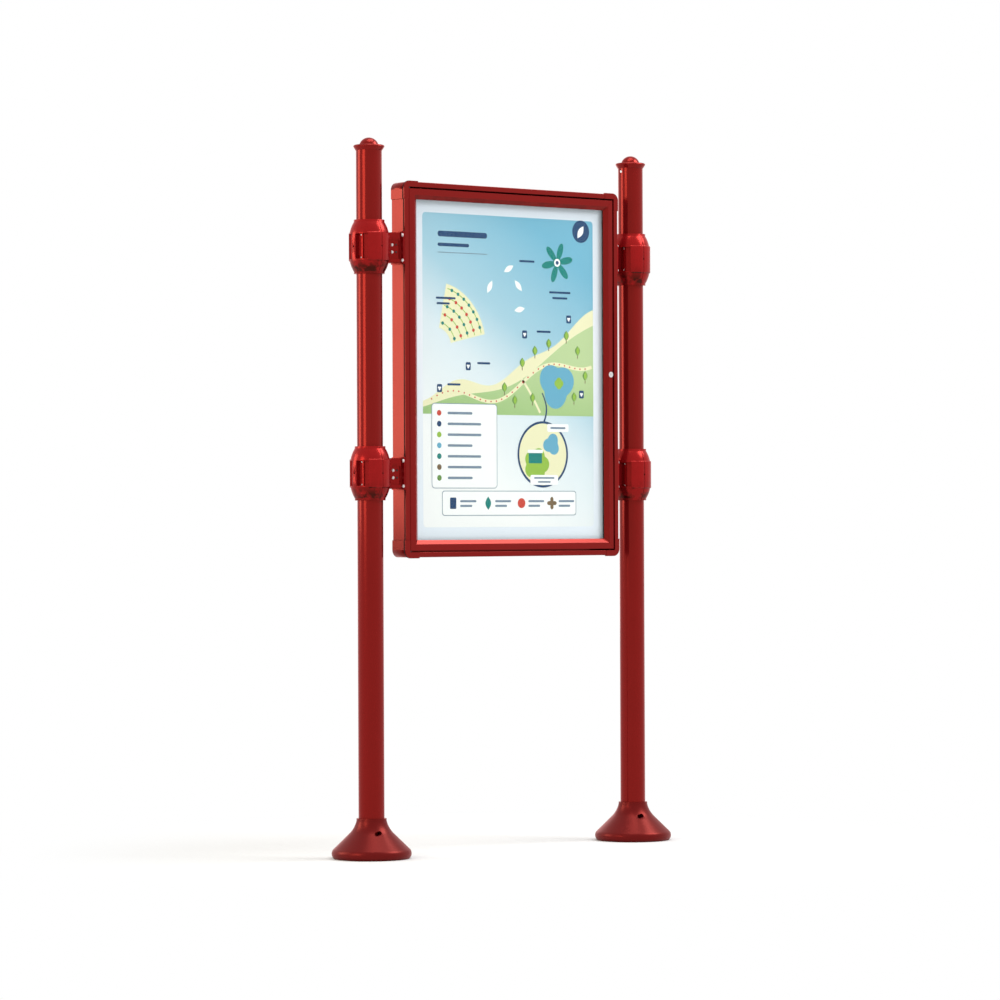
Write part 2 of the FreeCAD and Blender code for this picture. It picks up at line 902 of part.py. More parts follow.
def make_gasket():
    """Rubber frame that keeps the pane in its rebate."""
    body = new_body("glazing_gasket")
    side = opening_side + s.glass_overlap - s.glass_gap
    rise = opening_rise + s.glass_overlap - s.glass_gap
    inner_side = opening_side + s.gasket_margin
    inner_rise = opening_rise + s.gasket_margin
    outer = box(-side, side, case_middle - rise, case_middle + rise)
    inner = box(-inner_side, inner_side, case_middle - inner_rise, case_middle + inner_rise)
    pad(body, "Y", [outer, inner], glass_back, door_back)
    return body


def build():
    """Makes every piece of the board."""
    pieces = []
    for side in ("left", "right"):
        pieces += [make_post(side), make_foot(side), make_cover(side), make_cap(side)]
        for level in ("upper", "lower"):
            pieces += make_collar(side, level)
        pieces.append(make_side_profile(side))
    pieces += [make_level_profile("case_top", 1), make_level_profile("case_bottom_rail", -1)]
    for across, side in ((-1, "left"), (1, "right")):
        for up, level in ((1, "top"), (-1, "bottom")):
            pieces.append(make_corner(f"corner_{level}_{side}", across, up))
    pieces += [make_back_panel(), make_tray(), make_sheet(), make_hinge_pin()]
    pieces += [make_stile("door_stile_hinge", -1), make_stile("door_stile_lock", 1)]
    pieces += [make_rail("door_rail_top", 1), make_rail("door_rail_bottom", -1)]
    pieces += [make_glass(), make_gasket()]
    pieces += make_lock_pieces()
    return pieces


def make_lock_pieces():
    """Barrel and plug in the lock stile, the cam behind them and the keeper on the case."""
    barrel_end = front + s.lock_length
    keeper_face = door_back + s.door_gap
    keeper_back = keeper_face + s.keeper_thickness
    cam_face = keeper_back + s.cam_gap
    bore = s.plug_diameter / 2 + s.lock_play

    barrel = new_body("lock_barrel")
    tube = [Circle(0, 0, s.lock_barrel / 2), Circle(0, 0, bore)]
    pad(barrel, "Y", tube, front, barrel_end)
    rim = [Circle(0, 0, s.lock_rim / 2), Circle(0, 0, bore)]
    pad(barrel, "Y", rim, front - s.lock_rim_height, front)

    plug = new_body("lock_plug")
    pad(plug, "Y", [Circle(0, 0, s.plug_diameter / 2)], front, cam_face)
    across = s.key_slot_width / 2
    along = s.key_slot_length / 2
    pocket(plug, "Y", [box(-across, across, -along, along)], front, front + s.key_slot_depth)

    cam = new_body("lock_cam")
    half = s.cam_width / 2
    outline = [
        (-half, 0),
        Via(0, half),
        (half, 0),
        (half, -s.cam_reach),
        (-half, -s.cam_reach),
    ]
    pad(cam, "Y", [outline], cam_face, cam_face + s.cam_thickness)
    for piece in (barrel, plug, cam):
        place(piece, x=lock_x, z=case_middle)

    keeper = new_body("latch_keeper")
    wall = half_width - wall_inside
    rise = s.keeper_height / 2
    plate = box(wall - s.keeper_width, wall, case_middle - rise, case_middle + rise)
    pad(keeper, "Y", [plate], keeper_face, keeper_back)
    return [barrel, plug, cam, keeper]


def check(pieces):
    """Stops on any failed object or any piece without a sound solid."""
    doc.recompute()
    for item in doc.Objects:
        if any(word in item.State for word in ("Invalid", "Error")):
            raise RuntimeError(f"{item.Label} failed: {item.State}")
    for piece in pieces:
        shape = piece.Shape
        if shape.isNull() or not shape.isValid() or not shape.Solids:
            raise RuntimeError(f"{piece.Label} has no sound solid")


def export(pieces):
    """Writes one STEP file for each piece."""
    os.makedirs("parts", exist_ok=True)
    for piece in pieces:
        piece.Shape.exportStep(f"parts/{piece.Label}.step")
    print(len(pieces), "pieces")


all_pieces = build()
check(all_pieces)
export(all_pieces)
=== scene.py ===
"""Outdoor notice board: its finishes, printed sheet, screws and small marks, around the CAD model.

Everything is in metres in the CAD model's own frame: +Z up, -Y towards the reader, +X to the
reader's right, the floor at 0 and the origin midway between the posts.
"""
import json
import math

import bpy
import numpy as np
from mathutils import Matrix, Vector


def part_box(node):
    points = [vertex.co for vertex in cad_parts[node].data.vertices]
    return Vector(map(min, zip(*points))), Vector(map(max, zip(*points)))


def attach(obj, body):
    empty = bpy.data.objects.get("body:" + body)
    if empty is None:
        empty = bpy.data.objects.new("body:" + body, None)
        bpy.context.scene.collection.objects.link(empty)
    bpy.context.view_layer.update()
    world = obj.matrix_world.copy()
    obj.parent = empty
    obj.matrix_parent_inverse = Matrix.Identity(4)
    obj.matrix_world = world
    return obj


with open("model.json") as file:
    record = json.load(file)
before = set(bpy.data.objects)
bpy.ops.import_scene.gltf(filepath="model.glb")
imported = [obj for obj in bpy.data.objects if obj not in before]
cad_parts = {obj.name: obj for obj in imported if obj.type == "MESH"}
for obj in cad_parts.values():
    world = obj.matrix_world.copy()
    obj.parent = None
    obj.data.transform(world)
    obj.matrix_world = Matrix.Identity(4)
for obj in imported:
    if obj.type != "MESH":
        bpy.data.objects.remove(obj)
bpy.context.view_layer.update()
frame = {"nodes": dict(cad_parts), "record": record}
nodes = frame["nodes"]
scene = bpy.context.scene
TURN = 2 * math.pi


# Measures read from the CAD model


def low(node):
    """Lowest corner of a CAD node."""
    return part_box(node)[0]


def high(node):
    """Highest corner of a CAD node."""
    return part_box(node)[1]


def middle(node):
    """Middle of a CAD node's box."""
    return (low(node) + high(node)) / 2


SIDES = {"left": -1, "right": 1}
LEVELS = ("upper", "lower")
post_x = {side: middle(f"post_{side}").x for side in SIDES}
post_radius = (high("post_left").x - low("post_left").x) / 2
collar_z = {level: middle(f"collar_{level}_left_outer").z for level in LEVELS}
sheet_low = low("printed_sheet")
sheet_high = high("printed_sheet")
sheet_middle = middle("printed_sheet")
MM = 0.001


# Shader groups and materials


def new_group(name, inputs, outputs):
    """An empty shader group with named sockets, given as (name, socket type, default value)."""
    group = bpy.data.node_groups.new(name, "ShaderNodeTree")
    for title, kind, value in inputs:
        socket = group.interface.new_socket(title, in_out="INPUT", socket_type=kind)
        if value is not None:
            socket.default_value = value
    for title, kind in outputs:
        group.interface.new_socket(title, in_out="OUTPUT", socket_type=kind)
    return group


def add(tree, kind, **values):
    """Adds a node and sets its properties and, by socket name, its inputs."""
    node = tree.nodes.new(kind)
    for key, value in values.items():
        if hasattr(node, key):
            setattr(node, key, value)
        else:
            node.inputs[key.replace("_", " ")].default_value = value
    return node


NOISE_SOFTNESS = 0.55
# Painted shade on surfaces facing down starts and is full at these heights of the surface's normal, and is
# broken up by a noise
DOWN_FROM, DOWN_FULL = -0.05, -0.40
BLOTCH_SCALE, BLOTCH_SOFTNESS = 34.0, 0.65
BLOTCH_FROM, BLOTCH_FULL, BLOTCH_LEAST = 0.42, 0.56, 0.15
# Dark red laid on surfaces that face down: painted shade
UNDERSIDE_SHADE_COLOUR = (0.022, 0.004, 0.004, 1)


def remap(tree, value, old, new=(0.0, 1.0)):
    """Socket that carries a value from an old range to a new one, held at its ends."""
    node = tree.nodes.new("ShaderNodeMapRange")
    node.inputs["From Min"].default_value, node.inputs["From Max"].default_value = old
    node.inputs["To Min"].default_value, node.inputs["To Max"].default_value = new
    tree.links.new(value, node.inputs["Value"])
    return node.outputs["Result"]


def joined(tree, operation, first, second):
    """Socket that joins two values by an operation."""
    node = add(tree, "ShaderNodeMath", operation=operation)
    for value, socket in zip((first, second), node.inputs):
        tree.links.new(value, socket)
    return node.outputs[0]


def make_uneven_shaded_paint_group():
    """Group that darkens and dulls a paint where noise is high, and lays painted shade on its undersides.

    Colour = paint times (1 - depth times noise), then faded to a painted shade colour by the shade amount
    times noise times how far the surface faces down; roughness = its base plus noise times its spread.
    """
    group = new_group(
        "paint_unevenness_and_underside_shade",
        [
            ("Paint", "NodeSocketColor", (0.4, 0.01, 0.01, 1)),
            ("Scale", "NodeSocketFloat", 20.0),
            ("Depth", "NodeSocketFloat", 0.1),
            ("Roughness", "NodeSocketFloat", 0.2),
            ("Spread", "NodeSocketFloat", 0.1),
            ("Grime", "NodeSocketFloat", 0.0),
        ],
        [("Colour", "NodeSocketColor"), ("Roughness", "NodeSocketFloat"), ("Height", "NodeSocketFloat")],
    )
    entry = group.nodes.new("NodeGroupInput")
    out = group.nodes.new("NodeGroupOutput")
    place = group.nodes.new("ShaderNodeTexCoord")
    noise = add(group, "ShaderNodeTexNoise", Detail=3.0, Roughness=NOISE_SOFTNESS)
    group.links.new(place.outputs["Object"], noise.inputs["Vector"])
    group.links.new(entry.outputs["Scale"], noise.inputs["Scale"])
    darken = joined(group, "MULTIPLY", noise.outputs["Fac"], entry.outputs["Depth"])
    mix = add(group, "ShaderNodeMix", data_type="RGBA")
    mix.inputs["B"].default_value = (0, 0, 0, 1)
    group.links.new(darken, mix.inputs["Factor"])
    group.links.new(entry.outputs["Paint"], mix.inputs["A"])
    face = group.nodes.new("ShaderNodeNewGeometry")
    facing = group.nodes.new("ShaderNodeSeparateXYZ")
    group.links.new(face.outputs["Normal"], facing.inputs[0])
    # Painted shade: darker where the surface faces down, in noisy patches
    down = remap(group, facing.outputs["Z"], (DOWN_FROM, DOWN_FULL))
    blotch = add(group, "ShaderNodeTexNoise", Scale=BLOTCH_SCALE, Detail=5.0, Roughness=BLOTCH_SOFTNESS)
    group.links.new(place.outputs["Object"], blotch.inputs["Vector"])
    patchy = remap(group, blotch.outputs["Fac"], (BLOTCH_FROM, BLOTCH_FULL), (BLOTCH_LEAST, 1.0))
    shade_patches = joined(group, "MULTIPLY", down, patchy)
    amount = joined(group, "MULTIPLY", shade_patches, entry.outputs["Grime"])
    shaded_paint_mix = add(group, "ShaderNodeMix", data_type="RGBA")
    shaded_paint_mix.inputs["B"].default_value = UNDERSIDE_SHADE_COLOUR
    group.links.new(amount, shaded_paint_mix.inputs["Factor"])
    group.links.new(mix.outputs["Result"], shaded_paint_mix.inputs["A"])
    spread = add(group, "ShaderNodeMath", operation="MULTIPLY_ADD")
    group.links.new(noise.outputs["Fac"], spread.inputs[0])
    group.links.new(entry.outputs["Spread"], spread.inputs[1])
    group.links.new(entry.outputs["Roughness"], spread.inputs[2])
    group.links.new(shaded_paint_mix.outputs["Result"], out.inputs["Colour"])
    group.links.new(spread.outputs[0], out.inputs["Roughness"])
    group.links.new(noise.outputs["Fac"], out.inputs["Height"])
    return group


paint_unevenness_and_underside_shade = make_uneven_shaded_paint_group()


def new_material(name, colour, roughness, **sockets):
    """A material with one Principled shader, its sockets given by name with _ for a space."""
    material = bpy.data.materials.new(name)
    material.use_nodes = True
    shader = material.node_tree.nodes["Principled BSDF"]
    shader.inputs["Base Color"].default_value = (*colour, 1)
    shader.inputs["Roughness"].default_value = roughness
    for key, value in sockets.items():
        shader.inputs[key.replace("_", " ")].default_value = value
    material.diffuse_color = (*colour, 1)
    return material


PAINT_SHEEN = (1.0, 0.24, 0.11)
PAINT_FLAKE = 0.4


def new_paint(name, colour, bump, **unevenness):
    """Paint with a fine metal flake, its unevenness and painted underside shade given by the group's
    socket names.
    """
    roughness = unevenness["Roughness"]
    material = new_material(name, colour, roughness, Metallic=PAINT_FLAKE, Specular_Tint=(*PAINT_SHEEN, 1))
    tree = material.node_tree
    shader = tree.nodes["Principled BSDF"]
    uneven = add(tree, "ShaderNodeGroup", node_tree=paint_unevenness_and_underside_shade)
    uneven.inputs["Paint"].default_value = (*colour, 1)
    for key, value in unevenness.items():
        uneven.inputs[key].default_value = value
    tree.links.new(uneven.outputs["Colour"], shader.inputs["Base Color"])
    tree.links.new(uneven.outputs["Roughness"], shader.inputs["Roughness"])
    surface = add(tree, "ShaderNodeBump", Strength=bump, Distance=MM)
    tree.links.new(uneven.outputs["Height"], surface.inputs["Height"])
    tree.links.new(surface.outputs["Normal"], shader.inputs["Normal"])
    return material


RED = (0.215, 0.0080, 0.0095)
# Base covers' red, darker than the posts' red: painted shade
COVER_RED_SHADED = (0.135, 0.0060, 0.0085)
CAST_RED = (0.33, 0.0085, 0.0120)
tube_paint = new_paint("red_tube_paint", RED, 0.01, Scale=9, Depth=0.10, Roughness=0.12, Spread=0.06)
# The cast and profile paints carry painted shade on their undersides
cast_paint = new_paint(
    "red_cast_paint", CAST_RED, 0.12, Scale=60, Depth=0.20, Roughness=0.16, Spread=0.14, Grime=0.95
)
# Satin paint of the base covers, in the darker red that is painted shade
shaded_cover_paint = new_paint(
    "red_satin_paint_shaded", COVER_RED_SHADED, 0.03, Scale=12, Depth=0.12, Roughness=0.29, Spread=0.08
)
profile_paint = new_paint(
    "red_profile_paint", RED, 0.01, Scale=14, Depth=0.10, Roughness=0.14, Spread=0.06, Grime=0.3
)
tray_enamel = new_material("pale_enamel", (0.80, 0.83, 0.84), 0.4)
galvanised = new_material("galvanised_steel", (0.55, 0.56, 0.57), 0.45, Metallic=1.0)
steel = new_material("stainless_steel", (0.76, 0.73, 0.72), 0.34, Metallic=1.0)
zinc = new_material("bright_zinc", (0.96, 0.94, 0.93), 0.34, Metallic=0.5)
rubber = new_material("black_rubber", (0.012, 0.010, 0.010), 0.8, Specular_IOR_Level=0.15)
# Very dark, reddish metal for the hinge pin and the smaller recess screws
dark_reddish_metal = new_material("dark_reddish_metal", (0.10, 0.06, 0.06), 0.5, Metallic=1.0)


def make_glass():
    """Clear pane that lets lamps and soft light through as if it were open."""
    material = new_material("clear_glass", (0.97, 0.99, 0.985), 0.0, Transmission_Weight=1.0, IOR=1.2)
    tree = material.node_tree
    shader = tree.nodes["Principled BSDF"]
    path = tree.nodes.new("ShaderNodeLightPath")
    unseen = joined(tree, "MAXIMUM", path.outputs["Is Shadow Ray"], path.outputs["Is Diffuse Ray"])
    clear = add(tree, "ShaderNodeBsdfTransparent", Color=(0.97, 0.98, 0.975, 1))
    mix = tree.nodes.new("ShaderNodeMixShader")
    tree.links.new(unseen, mix.inputs["Fac"])
    tree.links.new(shader.outputs[0], mix.inputs[1])
    tree.links.new(clear.outputs[0], mix.inputs[2])
    tree.links.new(mix.outputs[0], tree.nodes["Material Output"].inputs["Surface"])
    return material


glass = make_glass()


def linear(red, green, blue):
    """Linear colour of a screen colour that is given as three numbers from 0 to 255."""
    screen = np.array([red, green, blue]) / 255
    low_part = screen / 12.92
    high_part = ((screen + 0.055) / 1.055) ** 2.4
    return tuple(float(c) for c in np.where(screen <= 0.04045, low_part, high_part))


def make_sheet_fade(name, stops, across):
    """Colour that fades up the sheet through the stops, and a little across it: print on the panel and
    meadow, painted shade on the border.

    A stop is (height as a share of the sheet, screen colour). Height in the ramp is lifted by
    across times the distance to the right, as a share of the sheet's width.
    """
    material = new_material(name, linear(*stops[0][1]), 0.4, Specular_IOR_Level=0.2)
    tree = material.node_tree
    shader = tree.nodes["Principled BSDF"]
    place = tree.nodes.new("ShaderNodeTexCoord")
    split = tree.nodes.new("ShaderNodeSeparateXYZ")
    tree.links.new(place.outputs["Object"], split.inputs[0])
    rise = add(tree, "ShaderNodeMapRange", clamp=False)
    rise.inputs["From Min"].default_value = sheet_low.z
    rise.inputs["From Max"].default_value = sheet_high.z
    tree.links.new(split.outputs["Z"], rise.inputs["Value"])
    aside = add(tree, "ShaderNodeMath", operation="MULTIPLY_ADD")
    aside.inputs[1].default_value = across / (sheet_high.x - sheet_low.x)
    tree.links.new(split.outputs["X"], aside.inputs[0])
    tree.links.new(rise.outputs["Result"], aside.inputs[2])
    ramp = tree.nodes.new("ShaderNodeValToRGB")
    keys = ramp.color_ramp.elements
    while len(keys) < len(stops):
        keys.new(0.5)
    for key, (share, colour) in zip(keys, stops):
        key.position = share
        key.color = (*linear(*colour), 1)
    tree.links.new(aside.outputs[0], ramp.inputs["Fac"])
    tree.links.new(ramp.outputs["Color"], shader.inputs["Base Color"])
    return material


# Paper border: darker towards the top, which is painted shade
paper_border_shaded = make_sheet_fade(
    "paper_border_with_shaded_top",
    [(0.0, (234, 242, 251)), (0.6, (240, 242, 249)), (1.0, (222, 230, 240))],
    0.0,
)
panel_print = make_sheet_fade(
    "printed_panel",
    [(0.10, (250, 251, 250)), (0.44, (222, 234, 240)), (0.64, (168, 206, 222)), (1.0, (116, 180, 206))],
    0.5,
)
meadow_print = make_sheet_fade("printed_meadow", [(0.30, (150, 190, 118)), (0.55, (190, 212, 156))], 0.1)


def dress_nodes():
    """Gives each CAD node its slot's material and rounds the edges of the painted ones."""
    finishes = {
        "tube_paint": tube_paint,
        "cast_paint": cast_paint,
        "profile_paint": profile_paint,
        "tray_enamel": tray_enamel,
        "galvanised_steel": galvanised,
        "stainless_steel": steel,
        "printed_paper": paper_border_shaded,
        "clear_glass": glass,
        "black_rubber": rubber,
    }
    rounding = {"cast_paint": 1.6 * MM, "profile_paint": 0.9 * MM}
    for part in frame["record"]["subparts"]:
        piece = nodes[part["node"]]
        slot = part["material_slot"]
        piece.data.materials.clear()
        piece.data.materials.append(finishes[slot])
        if slot in rounding:
            round_edges(piece, rounding[slot])
    nodes["hinge_pin"].data.materials[0] = dark_reddish_metal
    for side in SIDES:
        nodes[f"base_cover_{side}"].data.materials[0] = shaded_cover_paint
        nodes[f"cap_{side}"].data.materials[0] = tube_paint
        for level in ("top", "bottom"):
            nodes[f"corner_{level}_{side}"].data.materials[0] = profile_paint


def round_edges(piece, width):
    """Welds a piece's loose triangles and rounds its sharp edges."""
    weld = piece.modifiers.new("weld", "WELD")
    weld.merge_threshold = 0.02 * MM
    bevel = piece.modifiers.new("edges", "BEVEL")
    bevel.width = width
    bevel.segments = 2
    bevel.limit_method = "ANGLE"
    bevel.angle_limit = math.radians(32)
    bevel.harden_normals = True
    bevel.use_clamp_overlap = True


dress_nodes()


# Surfaces worked out with numpy


def make_piece(name, points, faces, material, body="frame"):
    """A flat-shaded mesh object at the origin that rides on a CAD body."""
    mesh = bpy.data.meshes.new(name)
    mesh.from_pydata(np.asarray(points).reshape(-1, 3).tolist(), [], faces)
    mesh.validate()
    mesh.materials.append(material)
    mesh.polygons.foreach_set("use_smooth", np.zeros(len(mesh.polygons), dtype=bool))
    piece = bpy.data.objects.new(name, mesh)
    scene.collection.objects.link(piece)
    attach(piece, body)


# Printed sheet: flat shapes of ink, each a hair in front of the one before

LAYER = 0.04 * MM


def circle(x, z, radius, count=40):
    """Outline at a constant distance from its middle."""
    turn = np.linspace(0, TURN, count, endpoint=False)
    return np.stack([x + radius * np.cos(turn), z + radius * np.sin(turn)], axis=-1)


def card(x, z, width, height, radius, count=48):
    """Rounded box: a circle's points, each moved out to the corner of its own quarter."""
    turn = (np.arange(count) + 0.5) / count * TURN
    across = np.cos(turn) * radius + np.sign(np.cos(turn)) * (width / 2 - radius)
    up = np.sin(turn) * radius + np.sign(np.sin(turn)) * (height / 2 - radius)
    return np.stack([x + across, z + up], axis=-1)


def petals(x, z, radius, count, depth, sharpness, phase=0.0):
    """Flower outline: the radius swings between its full size and depth of it, count times round."""
    turn = np.linspace(0, TURN, 24 * count, endpoint=False)
    swing = np.abs(np.cos(turn * count / 2)) ** sharpness
    reach = radius * (depth + (1 - depth) * swing)
    return np.stack([x + reach * np.cos(turn + phase), z + reach * np.sin(turn + phase)], axis=-1)


def leaf(x, z, length, width, lean, count=16):
    """Lens from its stalk at x, z: its half width is a sine of the way along."""
    along = np.linspace(0, 1, count)
    half = np.sin(np.pi * along) * width / 2
    forward = np.concatenate([along, along[-2:0:-1]]) * length
    aside = np.concatenate([half, -half[-2:0:-1]])
    cos, sin = math.cos(lean), math.sin(lean)
    return np.stack([x + forward * cos - aside * sin, z + forward * sin + aside * cos], axis=-1)


def path_band(x, z, width):
    """Strip of a width that follows the points x, z, by stepping out along their normals."""
    along = np.stack([np.gradient(x), np.gradient(z)], axis=-1)
    along /= np.linalg.norm(along, axis=-1, keepdims=True)
    normal = np.stack([-along[:, 1], along[:, 0]], axis=-1)
    middle_line = np.stack([x, z], axis=-1)
    half = np.asarray(width)[..., None] / 2
    return np.concatenate([middle_line + normal * half, (middle_line - normal * half)[::-1]])


def land(x, upper, lower):
    """Area between an upper and a lower line over the same x."""
    top = np.stack([x, upper], axis=-1)
    foot = np.stack([x, np.broadcast_to(lower, x.shape)], axis=-1)
    return np.concatenate([top, foot[::-1]])


class Ink:
    """Shapes of one colour, gathered into one flat mesh that faces the reader."""

    def __init__(self, name, material):
        self.name = name
        self.material = material
        self.points = []
        self.faces = []

    def put(self, outline, level):
        """Adds an outline in sheet coordinates, its middle at 0, 0, on a layer."""
        x, z = outline.T
        area = np.sum(x * np.roll(z, -1) - z * np.roll(x, -1))
        if area < 0:
            outline = outline[::-1]
        start = len(self.points)
        depth = sheet_low.y - LAYER * level
        self.points += [(x, depth, sheet_middle.z + z) for x, z in outline.tolist()]
        self.faces.append(list(range(start, start + len(outline))))

    def make(self):
        """Makes the mesh."""
        make_piece(f"print_{self.name}", self.points, self.faces, self.material)


INK_COLOURS = {
    "white": (252, 253, 252),
    "navy": (28, 66, 108),
    "teal": (16, 128, 120),
    "cream": (240, 236, 194),
    "water": (104, 172, 200),
    "lime": (150, 190, 70),
    "moss": (104, 146, 74),
    "coral": (206, 70, 54),
    "earth": (120, 98, 70),
    "line_grey": (120, 140, 158),
}
PANEL_X = 0.333
PANEL_TOP = 0.466
PANEL_FOOT = -0.463
SHORE = -0.128
ORCHARD_X = -PANEL_X + 0.05
ORCHARD_Z = 0.07


def trail(share):
    """Point of the path along the meadow: it climbs to the right in a slow wave."""
    x = PANEL_X * (-0.98 + 1.96 * share)
    z = SHORE + 0.03 + 0.15 * share ** 1.5 + 0.03 * np.sin(share * 11)
    return x, z


def orchard_spot(radius, turn):
    """Point of the orchard at a distance and angle from its corner."""
    return ORCHARD_X + radius * np.cos(turn), ORCHARD_Z + radius * np.sin(turn)


def print_panel():
    """Rounded panel, with a meadow over its middle that rises to the right in a slow wave."""
    panel = Ink("panel", panel_print)
    meadow = Ink("meadow", meadow_print)
    panel.put(card(0, (PANEL_TOP + PANEL_FOOT) / 2, 2 * PANEL_X, PANEL_TOP - PANEL_FOOT, 0.012), 1)
    x = np.linspace(-PANEL_X, PANEL_X, 80)
    share = (x + PANEL_X) / (2 * PANEL_X)
    hill = SHORE + 0.02 + 0.25 * share ** 1.6 + 0.016 * np.sin(share * 9)
    meadow.put(land(x, hill, SHORE), 4)
    panel.make()
    meadow.make()
    return x, hill


def print_motifs(x, hill):
    """Generic trail map: path, lake, trees, orchard arcs, a round inset, cards and icons."""
    ink = {}
    for name, colour in INK_COLOURS.items():
        material = new_material(f"ink_{name}", linear(*colour), 0.4, Specular_IOR_Level=0.2)
        ink[name] = Ink(name, material)

    # far ridge behind the meadow, and the cream path along its crest
    ridge = hill + 0.018 + 0.03 * np.sin((x + PANEL_X) * 12) ** 2
    ink["cream"].put(land(x, ridge, SHORE), 3)
    bend = np.linspace(0, 1, 60)
    ink["cream"].put(path_band(*trail(bend), 0.011), 6)
    spur = np.linspace(0, 1, 30)
    ink["cream"].put(path_band(0.02 + 0.10 * spur, 0.0 - 0.12 * spur ** 1.4, 0.008), 6)

    # lake with an island
    ink["water"].put(petals(0.185, -0.035, 0.072, 3, 0.72, 1.2, 0.4), 7)
    ink["lime"].put(petals(0.195, -0.030, 0.018, 4, 0.8, 1.0), 8)

    # orchard on a fan-shaped field: rows of trees on arcs
    sweep = np.linspace(0.22, 1.36, 24)
    rim = np.concatenate([np.full(24, 0.192), np.full(24, 0.058)])
    turn = np.concatenate([sweep, sweep[::-1]])
    ink["cream"].put(np.stack(orchard_spot(rim, turn), axis=-1), 4)
    for row in range(5):
        radius = 0.075 + 0.026 * row
        turn = np.linspace(0.25, 1.32, 30)
        ink["lime"].put(path_band(*orchard_spot(radius, turn), 0.0026), 5)
        for angle in np.linspace(0.35, 1.22, 3 + row):
            ink["coral" if row % 2 else "teal"].put(circle(*orchard_spot(radius, angle), 0.0052, 16), 6)

    # marked route of dots along the path, pins, and bars in place of place names
    for share in np.linspace(0.04, 0.96, 30):
        ink["coral"].put(circle(*trail(share), 0.0026, 10), 8)
    pins = ((-0.16, 0.015), (0.06, 0.115), (0.235, 0.165), (-0.27, -0.052), (0.285, -0.062))
    for pin_x, pin_z in pins:
        ink["navy"].put(card(pin_x, pin_z, 0.019, 0.024, 0.004), 9)
        ink["white"].put(petals(pin_x, pin_z, 0.0065, 3, 0.5, 1.0, 0.5), 10)
    for label_x, label_z, length in (
        (0.135, 0.125, 0.055), (-0.10, 0.025, 0.050), (-0.245, 0.215, 0.075), (-0.255, 0.199, 0.050),
        (0.20, 0.245, 0.085), (0.20, 0.228, 0.060), (-0.215, -0.040, 0.050), (0.07, 0.335, 0.060),
    ):
        ink["navy"].put(card(label_x, label_z, length, 0.0062, 0.003), 9)

    # trees on the meadow
    for tree_x, tree_z in (
        (0.05, 0.015), (0.10, 0.052), (0.27, 0.055), (0.30, -0.02), (0.255, -0.085), (0.09, -0.09),
        (0.155, 0.075), (-0.02, -0.06), (0.225, 0.100), (0.02, -0.098),
    ):
        ink["moss"].put(leaf(tree_x, tree_z, 0.030, 0.020, math.pi / 2), 8)
        ink["lime"].put(leaf(tree_x + 0.0015, tree_z + 0.002, 0.026, 0.012, math.pi / 2), 9)
        ink["earth"].put(card(tree_x, tree_z - 0.003, 0.003, 0.011, 0.0012, 12), 7)

    # rosette and drifting leaves in the sky
    ink["teal"].put(petals(0.19, 0.335, 0.062, 6, 0.22, 1.6, 0.2), 5)
    ink["white"].put(circle(0.19, 0.335, 0.012), 6)
    ink["navy"].put(circle(0.19, 0.335, 0.006), 7)
    leaves = ((-0.02, 0.30, 0.5), (0.05, 0.245, 2.3), (-0.085, 0.235, 1.1), (0.02, 0.185, 0.2))
    for leaf_x, leaf_z, lean in leaves:
        ink["white"].put(leaf(leaf_x, leaf_z, 0.042, 0.017, lean), 5)

    # badge at the top corner, and bars where a heading would stand
    ink["navy"].put(circle(0.285, 0.433, 0.034), 6)
    ink["white"].put(leaf(0.272, 0.413, 0.044, 0.020, 1.0), 7)
    ink["navy"].put(card(-0.180, 0.405, 0.190, 0.017, 0.0085), 5)
    ink["navy"].put(card(-0.215, 0.373, 0.120, 0.010, 0.005), 5)
    ink["line_grey"].put(card(-0.180, 0.350, 0.190, 0.0024, 0.0011), 5)

    # round inset with a dark ring: a hut, its lawn and a pond, and a stem that leads up to the lake
    stem_x = 0.125 + 0.02 * np.sin(bend * 3)
    ink["navy"].put(path_band(stem_x, -0.165 + 0.105 * bend, 0.007 - 0.003 * bend), 9)
    ink["navy"].put(circle(0.13, -0.245, 0.100, 64), 10)
    ink["cream"].put(circle(0.13, -0.245, 0.093, 64), 11)
    ink["lime"].put(petals(0.105, -0.275, 0.050, 5, 0.8, 1.0), 12)
    ink["water"].put(petals(0.165, -0.215, 0.034, 3, 0.7, 1.2, 1.2), 12)
    ink["teal"].put(card(0.100, -0.255, 0.052, 0.034, 0.002), 13)
    ink["white"].put(card(0.100, -0.236, 0.060, 0.010, 0.002), 14)
    ink["white"].put(card(0.190, -0.165, 0.085, 0.024, 0.005), 13)
    ink["line_grey"].put(card(0.190, -0.165, 0.060, 0.006, 0.003), 14)
    ink["white"].put(card(0.135, -0.322, 0.110, 0.030, 0.006), 13)
    ink["line_grey"].put(card(0.135, -0.316, 0.080, 0.005, 0.0025), 14)
    ink["line_grey"].put(card(0.135, -0.328, 0.050, 0.005, 0.0025), 14)

    # white card with coloured marks and bars in place of entries
    ink["line_grey"].put(card(-0.175, -0.222, 0.252, 0.252, 0.012), 9)
    ink["white"].put(card(-0.175, -0.222, 0.248, 0.248, 0.010), 10)
    marks = ("coral", "navy", "lime", "water", "teal", "earth", "moss")
    for row, name in enumerate(marks):
        mark_z = -0.125 - 0.032 * row
        ink[name].put(circle(-0.272, mark_z, 0.0085, 24), 11)
        length = 0.095 + 0.045 * math.sin(row * 2.1) ** 2
        ink["line_grey"].put(card(-0.252 + length / 2 + 0.012, mark_z, length, 0.0075, 0.0037), 11)

